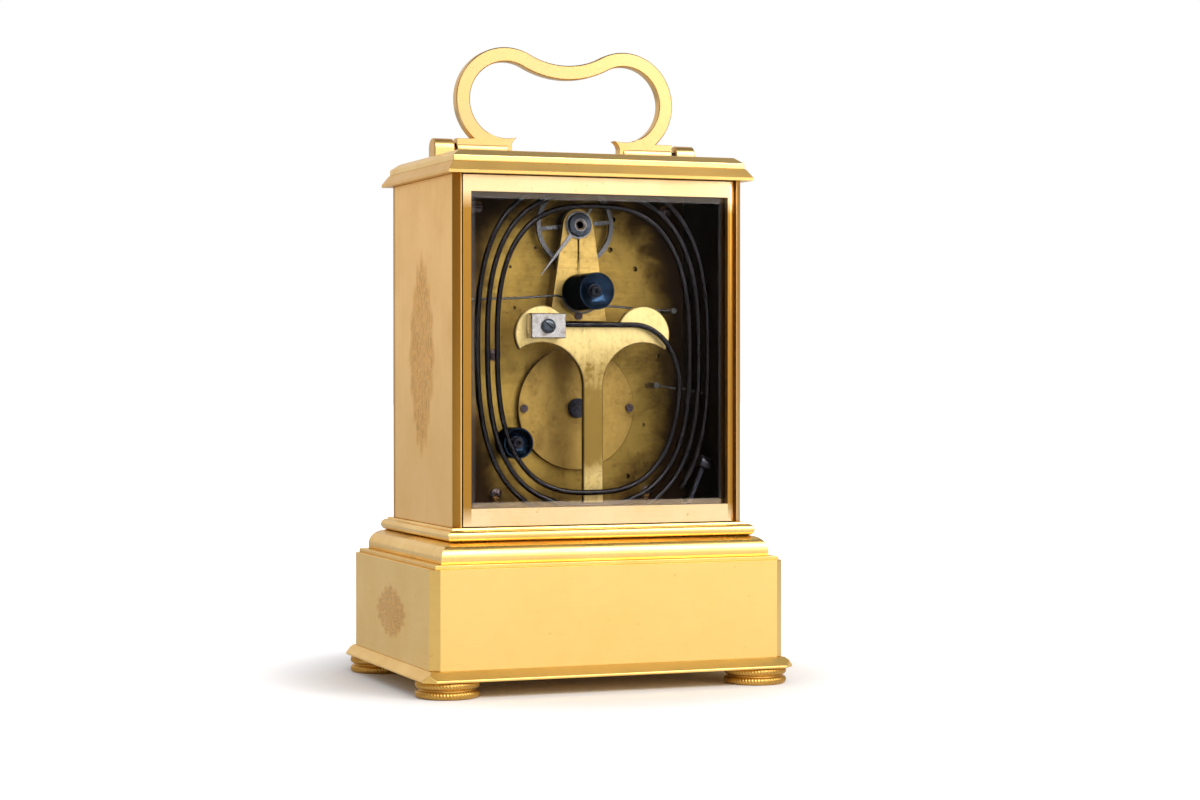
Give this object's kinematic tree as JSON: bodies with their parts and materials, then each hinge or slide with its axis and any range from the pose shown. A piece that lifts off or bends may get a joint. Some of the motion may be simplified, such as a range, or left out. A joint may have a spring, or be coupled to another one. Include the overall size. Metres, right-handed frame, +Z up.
{
  "type": "carriage clock",
  "caption": "Early one-piece gilt brass carriage clock with bail handle, glazed back door, lever movement with balance cock, and a wire gong on a T-shaped stand.",
  "frame": {"origin": "on the surface that the feet stand on, under the middle of the case", "axes": "+Z up, the glazed back door faces +Y, the dial faces -Y, +X is on the left when seen from the back"},
  "size_m": [0.1088, 0.0822, 0.18],
  "materials": {
    "gilt_brass": "fire-gilt, polished, lightly engraved",
    "brass": "gilt, aged satin",
    "steel": "polished steel",
    "blued_steel": "heat-blued, polished",
    "enamel": "white vitreous enamel",
    "glass": "clear, bevelled edge"
  },
  "bodies": {
    "case": {"feet": "gilt_brass", "base_slab": "gilt_brass", "plinth_box": "gilt_brass", "plinth_step": "gilt_brass", "lower_moulding": "gilt_brass", "upper_moulding": "gilt_brass", "case_floor": "brass", "case_rods": "steel", "left_wall": "gilt_brass", "right_wall": "gilt_brass", "cornice": "gilt_brass", "roof": "gilt_brass", "handle_knuckles": "gilt_brass", "front_frame": "gilt_brass", "front_glass": "glass", "dial": "enamel", "dial_mask": "gilt_brass", "front_plate": "brass", "back_plate": "brass", "plate_pillars": "brass", "plate_screws": "steel", "barrel_bridge": "brass", "balance_cock": "brass", "cock_cap": "steel", "plate_springs": "steel", "gong_stand": "brass", "gong_block": "steel", "gong": "steel"},
    "handle": {"handle": "gilt_brass", "handle_pins": "steel"},
    "back_door": {"back_door": "gilt_brass", "back_glass": "glass", "back_door_pins": "steel"},
    "hand_setting": {"setting_arbor": "steel", "setting_knob": "blued_steel", "cannon_pinion": "steel", "minute_hand": "blued_steel"},
    "minute_wheel": {"minute_wheel": "brass"},
    "hour": {"hour_wheel": "brass", "hour_hand": "blued_steel"},
    "winding": {"winding_arbor": "steel", "winding_knob": "blued_steel"},
    "barrel_arbor": {"barrel_arbor": "steel", "winding_wheel": "brass"},
    "click": {"click": "steel"},
    "going_barrel": {"going_barrel": "brass", "going_spring": "steel"},
    "intermediate_wheel": {"intermediate_wheel": "brass"},
    "centre_wheel": {"centre_wheel": "brass"},
    "third_wheel": {"third_wheel": "brass"},
    "fourth_wheel": {"fourth_wheel": "brass"},
    "escape_wheel": {"escape_wheel": "steel"},
    "pallet_lever": {"pallet_lever": "steel"},
    "balance": {"balance": "steel"},
    "regulator": {"regulator": "steel"},
    "strike_barrel": {"strike_barrel": "brass"},
    "pin_wheel": {"pin_wheel": "brass"},
    "warning_wheel": {"warning_wheel": "brass"},
    "strike_fly": {"strike_fly": "brass"},
    "hammer": {"hammer": "steel"}
  },
  "joints": [
    {"name": "handle_hinge", "type": "hinge", "parent": "case", "child": "handle", "pos_m": [0, 0, 0.1507], "axis": [1, 0, 0], "range_deg": [-90, 90]},
    {"name": "back_door_hinge", "type": "hinge", "parent": "case", "child": "back_door", "pos_m": [-0.03875, 0.0286, 0.0935], "axis": [0, 0, 1], "range_deg": [0, 95]},
    {"name": "hand_setting_spin", "type": "hinge", "parent": "case", "child": "hand_setting", "pos_m": [0, 0, 0.1102], "axis": [0, 1, 0], "continuous": true},
    {"name": "minute_wheel_spin", "type": "hinge", "parent": "case", "child": "minute_wheel", "pos_m": [0.0084, 0, 0.1102], "axis": [0, 1, 0], "continuous": true},
    {"name": "hour_spin", "type": "hinge", "parent": "case", "child": "hour", "pos_m": [0, 0, 0.1102], "axis": [0, 1, 0], "continuous": true},
    {"name": "winding_spin", "type": "hinge", "parent": "case", "child": "winding", "pos_m": [0.0195, 0, 0.0678], "axis": [0, 1, 0], "continuous": true},
    {"name": "barrel_arbor_spin", "type": "hinge", "parent": "case", "child": "barrel_arbor", "pos_m": [-0.0008, 0, 0.0774], "axis": [0, 1, 0], "continuous": true},
    {"name": "click_pivot", "type": "hinge", "parent": "case", "child": "click", "pos_m": [0.0095, 0, 0.0836], "axis": [0, 1, 0], "range_deg": [0, 12], "stiffness_Nm_per_rad": 0.001, "springref_deg": -5.73},
    {"name": "third_spin", "type": "hinge", "parent": "case", "child": "third_wheel", "pos_m": [0.0173, 0, 0.1058], "axis": [0, 1, 0], "continuous": true},
    {"name": "fourth_spin", "type": "hinge", "parent": "case", "child": "fourth_wheel", "pos_m": [0.0252, 0, 0.1108], "axis": [0, 1, 0], "continuous": true},
    {"name": "escape_spin", "type": "hinge", "parent": "case", "child": "escape_wheel", "pos_m": [0.0185, 0, 0.1174], "axis": [0, 1, 0], "continuous": true},
    {"name": "centre_spin", "type": "hinge", "parent": "case", "child": "centre_wheel", "pos_m": [0, 0, 0.1102], "axis": [0, 1, 0], "continuous": true},
    {"name": "intermediate_spin", "type": "hinge", "parent": "case", "child": "intermediate_wheel", "pos_m": [-0.0104, 0, 0.096], "axis": [0, 1, 0], "continuous": true},
    {"name": "going_barrel_spin", "type": "hinge", "parent": "case", "child": "going_barrel", "pos_m": [-0.0008, 0, 0.0774], "axis": [0, 1, 0], "continuous": true},
    {"name": "lever_pivot", "type": "hinge", "parent": "case", "child": "pallet_lever", "pos_m": [0.011, 0, 0.1229], "axis": [0, 1, 0], "range_deg": [-4.5, 4.5]},
    {"name": "balance_swing", "type": "hinge", "parent": "case", "child": "balance", "pos_m": [0, 0, 0.1293], "axis": [0, 1, 0], "range_deg": [-150, 150], "stiffness_Nm_per_rad": 0.000028},
    {"name": "regulator_swing", "type": "hinge", "parent": "case", "child": "regulator", "pos_m": [0, 0, 0.1293], "axis": [0, 1, 0], "range_deg": [-15, 15]},
    {"name": "pin_wheel_spin", "type": "hinge", "parent": "case", "child": "pin_wheel", "pos_m": [-0.022, 0, 0.0724], "axis": [0, 1, 0], "continuous": true},
    {"name": "strike_barrel_spin", "type": "hinge", "parent": "case", "child": "strike_barrel", "pos_m": [-0.0008, 0, 0.0774], "axis": [0, 1, 0], "continuous": true},
    {"name": "warning_spin", "type": "hinge", "parent": "case", "child": "warning_wheel", "pos_m": [-0.0258, 0, 0.0834], "axis": [0, 1, 0], "continuous": true},
    {"name": "fly_spin", "type": "hinge", "parent": "case", "child": "strike_fly", "pos_m": [-0.0266, 0, 0.0923], "axis": [0, 1, 0], "continuous": true},
    {"name": "hammer_pivot", "type": "hinge", "parent": "case", "child": "hammer", "pos_m": [-0.0285, 0, 0.0489], "axis": [0, 1, 0], "range_deg": [-10, 0], "stiffness_Nm_per_rad": 0.005, "springref_deg": 11.46}
  ],
  "couplings": [
    {"joint": "minute_wheel_spin", "follows": "hand_setting_spin", "ratio": -0.33333},
    {"joint": "hour_spin", "follows": "hand_setting_spin", "ratio": 0.083333},
    {"joint": "barrel_arbor_spin", "follows": "winding_spin", "ratio": -0.47368},
    {"joint": "fourth_spin", "follows": "third_spin", "ratio": -7.5},
    {"joint": "escape_spin", "follows": "third_spin", "ratio": 60},
    {"joint": "centre_spin", "follows": "third_spin", "ratio": -0.125},
    {"joint": "intermediate_spin", "follows": "third_spin", "ratio": 0.025},
    {"joint": "going_barrel_spin", "follows": "third_spin", "ratio": -0.0034722},
    {"joint": "strike_barrel_spin", "follows": "pin_wheel_spin", "ratio": -0.13889},
    {"joint": "warning_spin", "follows": "pin_wheel_spin", "ratio": -7.5},
    {"joint": "fly_spin", "follows": "pin_wheel_spin", "ratio": 50.625}
  ]
}
